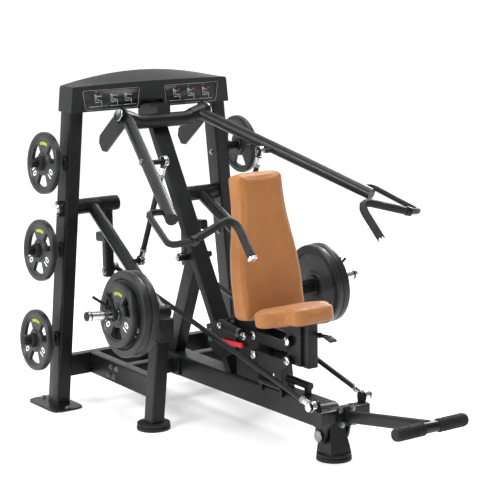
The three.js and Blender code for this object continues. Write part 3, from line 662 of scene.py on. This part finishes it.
def finish_pad(obj, body, node):
    obj.data.materials.clear()
    obj.data.materials.append(MATERIALS["leather"])
    for polygon in obj.data.polygons:
        polygon.use_smooth = True
    smooth = obj.modifiers.new("soften", "SMOOTH")
    smooth.factor = 0.5
    smooth.iterations = 5
    divide = obj.modifiers.new("divide", "SUBSURF")
    divide.levels = 1
    divide.render_levels = 1
    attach(obj, body)
    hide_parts(node)


def make_pads():
    depth = SEAT["rear"] - SEAT["front"]
    ratios = [(0.0, 0.120), (0.06, 0.165), (0.2, 0.212), (0.35, 0.227), (0.5, 0.205), (0.6, 0.160),
              (0.7, 0.130), (0.8, 0.129), (0.92, 0.128), (1.0, 0.092)]
    spots = smooth_spots([(SEAT["rear"] - t * depth - SEAT["middle"], x) for t, x in ratios])
    place = Matrix.Translation(rig(0, SEAT["middle"], SEAT["low"])) @ Matrix.Rotation(-SEAT["tilt"], 4, "X")
    place = place @ Matrix.Translation((0, 0, 0.001))
    seat = pad_shape("seat_cushion", spots, SEAT["thickness"] - PAD_SLACK, place)
    inflate(seat)
    finish_pad(seat, "seat_carriage", "seat_pad")

    ratios = [(0.0, 0.178), (0.04, 0.198), (0.15, 0.204), (0.3, 0.203), (0.47, 0.189), (0.6, 0.171),
              (0.75, 0.154), (0.96, 0.143), (1.0, 0.127)]
    spots = smooth_spots([(t * BACK["height"], x) for t, x in ratios])
    up = Vector((0, BACK["lean"], 1)).normalized()
    rearward = Vector((0, 1, -BACK["lean"])).normalized()
    turn = Matrix((Vector((1, 0, 0)), up, -rearward)).transposed().to_4x4()
    rear_foot = rig(0, *BACK["foot"]) + rearward * (BACK["thickness"] - 0.001)
    place = Matrix.Translation(rear_foot) @ turn
    back = pad_shape("back_cushion", spots, BACK["thickness"] - PAD_SLACK, place)
    inflate(back)
    finish_pad(back, "frame", "back_pad")


# ---------- header placards ----------
def placard(name, corners):
    """A dark panel with a thin grey border, from its four corners."""
    out = Vector((0, -1, 0))
    points = []
    for i, corner in enumerate(corners):
        before = corners[i - 1]
        after = corners[(i + 1) % 4]
        reach = 0.012
        start = corner + (before - corner).normalized() * reach
        end = corner + (after - corner).normalized() * reach
        for k in range(7):
            t = k / 6.0
            points.append(start * (1 - t) ** 2 + corner * 2 * t * (1 - t) + end * t * t)
    bm = bmesh.new()
    bm.faces.new([bm.verts.new(p + out * 0.0004) for p in points])
    bmesh.ops.recalc_face_normals(bm, faces=bm.faces)
    panel = piece(f"{name}_panel", bm, "panel", "frame", 0)
    thicken(panel, 0.0007)
    tube(f"{name}_border", [p + out * 0.0012 for p in points], 0.0011, "print_grey", "frame", cyclic=True)


def strokes(name, lines, width, material):
    """Flat printed strokes on the header's front, as [start, end] pairs of (x, z)."""
    bm = bmesh.new()
    for (xa, za), (xb, zb) in lines:
        a = Vector((xa, za, 0))
        b = Vector((xb, zb, 0))
        side = Vector((-(b - a).y, (b - a).x, 0)).normalized() * width / 2.0
        corners = [a + side, a - side, b - side, b + side]
        front = [rig(c.x, HEADER_FRONT - 0.0019, c.y) for c in corners]
        rear = [rig(c.x, HEADER_FRONT - 0.0009, c.y) for c in corners]
        verts = [[bm.verts.new(p) for p in ring] for ring in (front, rear)]
        bm.faces.new(verts[0])
        bm.faces.new(verts[1])
        for i in range(4):
            j = (i + 1) % 4
            bm.faces.new((verts[0][i], verts[0][j], verts[1][j], verts[1][i]))
    bmesh.ops.recalc_face_normals(bm, faces=bm.faces)
    return piece(name, bm, material, "frame", 0)


def seated_figure(x, z, reach, scale):
    """Stroke lines of a small seated figure pushing a lever."""
    spots = [
        ((0, 0.036), (0.004, 0.012)), ((0.004, 0.012), (0.026, 0.010)), ((0.026, 0.010), (0.028, -0.014)),
        ((0.001, 0.030), (reach, 0.026)), ((-0.006, 0.038), (-0.004, 0.004)),
        ((-0.004, 0.002), (0.022, 0.002)), ((-0.002, 0.048), (0.002, 0.048)),
    ]
    return [((x + a * scale, z + b * scale), (x + c * scale, z + d * scale)) for (a, b), (c, d) in spots]


def make_header():
    for name, side in SIDES:
        corners = [(0.082, 1.752), (0.443, 1.752), (0.428, 1.645), (0.095, 1.645)]
        corners = [rig(side * x, HEADER_FRONT, z) for x, z in corners]
        placard(f"{name}_placard", corners if side > 0 else corners[::-1])
    figure_height = 1.682
    figures = []
    for reach, places in ((0.030, (-0.36, -0.26, -0.17)), (0.018, (0.150, 0.245, 0.345))):
        for x in places:
            figures += seated_figure(x, figure_height, reach, 1.25)
    strokes("placard_figures", figures, 0.0055, "print_grey")
    rule_height = 1.662
    rules = (
        (-0.405, 0.120), (-0.275, 0.080), (-0.185, 0.080), (0.115, 0.090), (0.215, 0.090), (0.315, 0.090),
    )
    lines = [((left, rule_height), (left + length, rule_height)) for left, length in rules]
    strokes("placard_rules", lines, 0.0035, "print_grey")
    accent_height = 1.723
    accent_places = (-0.335, -0.235, -0.145, 0.172, 0.268, 0.368)
    accents = [((x, accent_height), (x + 0.016, accent_height)) for x in accent_places]
    strokes("placard_accents", accents, 0.006, "print_red")


# ---------- fittings ----------
RAIL = {"x": 0.415, "y": 0.0275, "slope": 0.0386}  # outer face of a side rail, and how it closes in
FOOT_RIBS = {"count": 11, "first": 0.050, "pitch": 0.0145}


def mirrored(point, side):
    return rig(side * point.x, point.y, point.z)


def make_shaft_fittings(name, side, out):
    cap(f"{name}_shaft_cap", rig(side * 0.5912, *SHAFT), out, (0.033, 0.006), "frame", sides=48)
    cover = [
        (AXIS_HOLE, -0.0015), (0.0412, -0.0015), (0.0412, 0.0125), (0.0402, 0.0125),
        (0.0402, -0.0002), (AXIS_HOLE, -0.0002),
    ]
    turned(f"{name}_shaft_cover", rig(side * 0.200, *SHAFT), out, cover, "rubber", "frame", 48)


def make_peg_fittings(name, side):
    axis = lean_axis(side)
    for level, height in PEG_HEIGHTS.items():
        tip = peg_point(side, height, PEG_LENGTH + 0.0004)
        cap(f"{name}_peg_{level}_tip", tip, axis, (0.0235, 0.005), "frame", "rubber")
        ring = [(0.0252, 0.0), (0.038, 0.0), (0.040, 0.006), (0.036, 0.022), (0.0252, 0.024)]
        spot = peg_point(side, height, PEG_FLANGE + PLATE_GAP + SMALL_PLATE["thickness"] + 0.0016)
        turned(f"{name}_peg_{level}_collar", spot, axis, ring, "rubber", f"{name}_storage_plate_{level}", 48)


def make_frame_bolts(name, side, out):
    for i, y in enumerate((-0.080, 0.195)):
        bolt(f"{name}_floor_bolt_{i}", rig(side * 0.63, y, 0.0123), (0, 0, 1), "frame", 0.013)
    for i in range(4):
        y = -0.182 - 0.033 * i
        x = RAIL["x"] - RAIL["slope"] * (y - RAIL["y"]) + 0.0003
        z = 0.240 if i % 2 else 0.190
        bolt(f"{name}_rail_bolt_{i}", rig(side * x, y, z), out, "frame")
    for i, height in enumerate((1.335, 0.863)):
        inner_face = UPRIGHT_FOOT - 0.0846 - SPLAY * height
        bolt(f"{name}_peg_bolt_{i}", rig(side * inner_face, SHAFT[0], height), -out, "frame", 0.012)


def make_pivot_caps(name, side, out):
    axis = Vector((side * HUB_AXIS.x, HUB_AXIS.y, HUB_AXIS.z))
    hub_end = mirrored(TOP_PIVOT, side) + axis * 0.1513
    cap(f"{name}_pivot_cap", hub_end, axis, (0.035, 0.005), "frame", sides=48)
    cap(f"{name}_cross_axle_cap", rig(side * 0.1083, -0.424, 0.845), out, (0.015, 0.005), "frame")
    spot = rig(side * 0.0843, *LEVER_AXLE)
    cap(f"{name}_lever_axle_cap", spot, out, (0.030, 0.008), "frame", "steel", 48)
    for level, z in LINK_HEIGHTS.items():
        rear = rig(side * 0.0663, LINK_SPAN["rear"], z)
        cap(f"{name}_link_{level}_cap", rear, out, (0.022, 0.007), "frame")
        front = rig(side * 0.0683, LINK_SPAN["front"], z + LINK_SPAN["rise"])
        cap(f"{name}_carriage_{level}_cap", front, out, (0.022, 0.007), "seat_carriage")


def make_gas_spring_fittings():
    collar = [(0.0095, 0), (0.0265, 0), (0.0265, 0.012), (0.0095, 0.014)]
    turned("gas_spring_collar", rig(-0.088, -0.982, 0.5298), (0, -1, -0.087), collar, "steel", "frame")
    cap("gas_spring_pin_cap", rig(-0.1143, -0.835, 0.545), (-1, 0, 0), (0.016, 0.006), "frame")
    cap("gas_spring_end_cap", rig(-0.1003, -1.038, 0.525), (-1, 0, 0), (0.020, 0.008), "frame")


def make_frame_fittings():
    for name, side in SIDES:
        out = Vector((side, 0, 0))
        make_shaft_fittings(name, side, out)
        make_peg_fittings(name, side)
        make_frame_bolts(name, side, out)
        make_pivot_caps(name, side, out)
        for i, (y, z) in enumerate(((-0.66, 0.475), (-0.66, 0.43), (-0.87, 0.56), (-0.87, 0.43))):
            bolt(f"{name}_tower_bolt_{i}", rig(side * 0.0573, y, z), out, "frame", 0.010)
    make_gas_spring_fittings()


def make_press_arm_fittings(name, side, out):
    arm = f"{name}_press_arm"
    cap(f"{name}_push_pin_cap", rig(side * 0.2915, -0.630, 1.419), -out, (0.0095, 0.004), arm, "steel")
    bolt(f"{name}_push_pin_head", rig(side * 0.446, -0.630, 1.423), out, arm, 0.014)
    way = GRIP_TIP - GRIP_BEND
    way = Vector((side * way.x, way.y, way.z)).normalized()
    cap(f"{name}_grip_end", mirrored(GRIP_TIP, side) + way * 0.0003, way, (0.0235, 0.012), arm, sides=48)


def make_push_rod_fittings(name, side, out):
    body = f"{name}_push_rod"
    head = mirrored(ROD_TOP, side)
    foot = mirrored(ROD_FOOT, side)
    down = (foot - head).normalized()
    cap(f"{name}_rod_foot_cap", foot - out * 0.0133, -out, (0.016, 0.006), body)
    foot_eye = eye_profile(0.0254, 0.0275, 0.0285, 0.0135)
    turned(f"{name}_rod_foot_eye", foot, out, foot_eye, "chrome", body, 48)
    head_eye = eye_profile(0.0274, 0.0295, 0.0305, 0.0115)
    turned(f"{name}_rod_head_eye", head, out, head_eye, "chrome", body, 48)
    thread = sleeve_profile(0.0152, 0.0168, 0.043)
    turned(f"{name}_rod_head_thread", head + down * 0.034, down, thread, "chrome", body, 24)
    turned(f"{name}_rod_foot_thread", foot - down * 0.030, -down, thread, "chrome", body, 24)
    nut = sleeve_profile(0.0152, 0.020, 0.016)
    for i, along in enumerate((0.078, 0.537)):
        turned(f"{name}_rod_nut_{i}", head + down * along, down, nut, "steel", body, 6)


def make_weight_arm_fittings(name, side, out):
    body = f"{name}_weight_arm"
    axis = lean_axis(side)
    start = rig(side * 0.387, -0.753, 0.645)
    cap(f"{name}_horn_inner_cap", start - axis * 0.0003, -axis, (0.0345, 0.006), body, "rubber", 48)
    end = rig(side * 0.870, -0.753, 0.6869)
    cap(f"{name}_horn_tip_cap", end + axis * 0.0004, axis, (0.024, 0.005), body, "rubber", 48)
    rim = [(0.0252, -0.022), (0.0259, -0.022), (0.0259, 0.0), (0.0252, 0.0)]
    turned(f"{name}_horn_tip_rim", end, axis, rim, "rubber", body, 48, 0.0002)
    stub = rig(side * 0.264, SHAFT[0], 0.723)
    bolt(f"{name}_rocker_bolt", stub + out * 0.0273, out, f"{name}_rocker", 0.015)


def make_assist_fittings(name, side, out):
    body = f"{name}_assist_rod"
    rear = rig(side * 0.221, 0.0575, 0.738)
    front = rig(side * 0.166, *LEVER_EAR)
    along = (rear - front).normalized()
    cap(f"{name}_assist_rear_cap", rear - out * 0.0123, -out, (0.015, 0.007), body)
    cap(f"{name}_assist_front_cap", front + out * 0.0244, out, (0.022, 0.007), "foot_lever")
    eye = eye_profile(0.0244, 0.0265, 0.0278, 0.0125)
    turned(f"{name}_assist_front_eye", front, out, eye, "chrome", body, 48)
    turned(f"{name}_assist_rear_eye", rear, out, eye, "chrome", body, 48)
    thread = sleeve_profile(0.0142, 0.0158, 0.037)
    turned(f"{name}_assist_thread", front + along * 0.030, along, thread, "chrome", body, 24)
    nut = sleeve_profile(0.0142, 0.019, 0.019)
    for i, reach in enumerate((0.068, 1.72)):
        turned(f"{name}_assist_nut_{i}", front + along * reach, along, nut, "steel", body, 6)


def make_arm_fittings():
    for name, side in SIDES:
        out = Vector((side, 0, 0))
        make_press_arm_fittings(name, side, out)
        make_push_rod_fittings(name, side, out)
        make_weight_arm_fittings(name, side, out)
        make_assist_fittings(name, side, out)


def make_foot_lever_fittings():
    rib = [(0.0312, -0.0045), (0.0332, -0.003), (0.0332, 0.003), (0.0312, 0.0045)]
    for name, side in SIDES:
        out = Vector((side, 0, 0))
        for k in range(FOOT_RIBS["count"]):
            x = FOOT_RIBS["first"] + FOOT_RIBS["pitch"] * k
            spot = rig(side * x, *FOOT_BAR)
            turned(f"{name}_foot_rib_{k}", spot, out, rib, "rubber", "foot_lever", 48, 0.0004)
        end = rig(side * 0.2113, *FOOT_BAR)
        cap(f"{name}_foot_bar_cap", end, out, (0.0285, 0.004), "foot_lever", "rubber", 48)
    corners = ((-0.038, 0.205), (0.038, 0.205), (-0.038, 0.275), (0.038, 0.275))
    for i, (x, up) in enumerate(corners):
        spot = rig(x, -1.7835 - (0.245 - up) * 0.17, up + 0.003)
        bolt(f"lever_flange_bolt_{i}", spot, (0, -1, 0.16), "foot_lever", 0.010)


def make_fittings():
    make_frame_fittings()
    make_arm_fittings()
    make_foot_lever_fittings()


# ---------- stage, light and camera ----------
def make_stage():
    """A wide sheet of white paper that glows a little more towards the horizon."""
    bm = bmesh.new()
    reach = 120.0
    corners = [(-reach, -reach), (reach, -reach), (reach, reach), (-reach, reach)]
    bm.faces.new([bm.verts.new(Vector((x, y, 0.0))) for x, y in corners])
    mesh = bpy.data.meshes.new("studio_floor")
    bm.to_mesh(mesh)
    bm.free()
    for polygon in mesh.polygons:
        polygon.use_smooth = True
    shader = Shader("studio paper", 0.7, specular=0.25)
    shader.colour(shader.noise(0.6, 2.0), (0.86, 0.86, 0.86), (0.88, 0.88, 0.88))
    shader.roughness(shader.noise(3.0, 2.0), 0.55, 0.7)
    shader.surface.inputs["Emission Color"].default_value = (1.0, 1.0, 1.0, 1.0)
    distance = shader.nodes.new("ShaderNodeVectorMath")
    distance.operation = "LENGTH"
    shader.links.new(shader.place, distance.inputs[0])
    glow = shader.span(distance.outputs["Value"], 2.0, 9.0, 0.27, 0.52)
    shader.links.new(glow, shader.surface.inputs["Emission Strength"])
    mesh.materials.append(shader.material)
    floor = bpy.data.objects.new("studio_floor", mesh)
    bpy.context.collection.objects.link(floor)
    floor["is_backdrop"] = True


def area_light(name, place, target, size, power, tint=(1, 1, 1)):
    light = bpy.data.lights.new(name, "AREA")
    light.shape = "RECTANGLE"
    light.size, light.size_y = size
    light.energy = power
    light.color = tint
    obj = bpy.data.objects.new(name, light)
    obj.location = place
    obj.rotation_euler = (Vector(target) - Vector(place)).to_track_quat("-Z", "Y").to_euler()
    bpy.context.collection.objects.link(obj)


def make_lights():
    """A sky that is bright behind the machine and dim in front of it, and four soft boxes."""
    world = bpy.data.worlds.new("studio")
    world.use_nodes = True
    nodes = world.node_tree.nodes
    links = world.node_tree.links
    background = nodes["Background"]
    background.inputs["Color"].default_value = (1.0, 1.0, 1.0, 1.0)
    direction = nodes.new("ShaderNodeTexCoord")
    split = nodes.new("ShaderNodeSeparateXYZ")
    links.new(direction.outputs["Generated"], split.inputs["Vector"])
    falloff = nodes.new("ShaderNodeMapRange")
    falloff.inputs["From Min"].default_value = -0.5
    falloff.inputs["From Max"].default_value = 0.55
    falloff.inputs["To Min"].default_value = 0.24
    falloff.inputs["To Max"].default_value = 1.0
    links.new(split.outputs["Y"], falloff.inputs["Value"])
    links.new(falloff.outputs["Result"], background.inputs["Strength"])
    bpy.context.scene.world = world
    area_light("key", (-6.0, 0.2, 4.8), (0, 0, 0.9), (2.2, 2.2), 360)
    area_light("top", (0.5, -0.5, 6.0), (0, 0, 0.5), (3.5, 3.5), 210)
    area_light("rim", (4.5, 2.5, 4.0), (0, 0, 1.0), (1.6, 3.0), 230)
    area_light("front", (-1.5, -6.5, 2.6), (0, -0.4, 0.8), (2.0, 1.2), 25)


def make_camera():
    camera = bpy.data.cameras.new("camera")
    camera.sensor_width = 36.0
    camera.lens = 121.76
    camera.shift_x = -0.0397
    camera.shift_y = -0.0146
    camera.clip_end = 100.0
    obj = bpy.data.objects.new("camera", camera)
    yaw, pitch, roll = math.radians(-35.71), math.radians(10.54), math.radians(-0.60)
    forward = Vector((-math.sin(yaw) * math.cos(pitch), math.cos(yaw) * math.cos(pitch), -math.sin(pitch)))
    right = forward.cross(Vector((0, 0, 1))).normalized()
    up = right.cross(forward)
    turned_right = right * math.cos(roll) + up * math.sin(roll)
    turned_up = up * math.cos(roll) - right * math.sin(roll)
    turn = Matrix((turned_right, turned_up, -forward)).transposed().to_4x4()
    obj.matrix_world = Matrix.Translation((-4.9976, -6.9923, 2.6160)) @ turn
    bpy.context.collection.objects.link(obj)
    bpy.context.scene.camera = obj


make_camera()
make_stage()
make_lights()
make_plates()
make_pads()
make_header()
make_fittings()
bpy.context.scene.view_settings.view_transform = "Standard"

sizes.update(size_note("finished"))
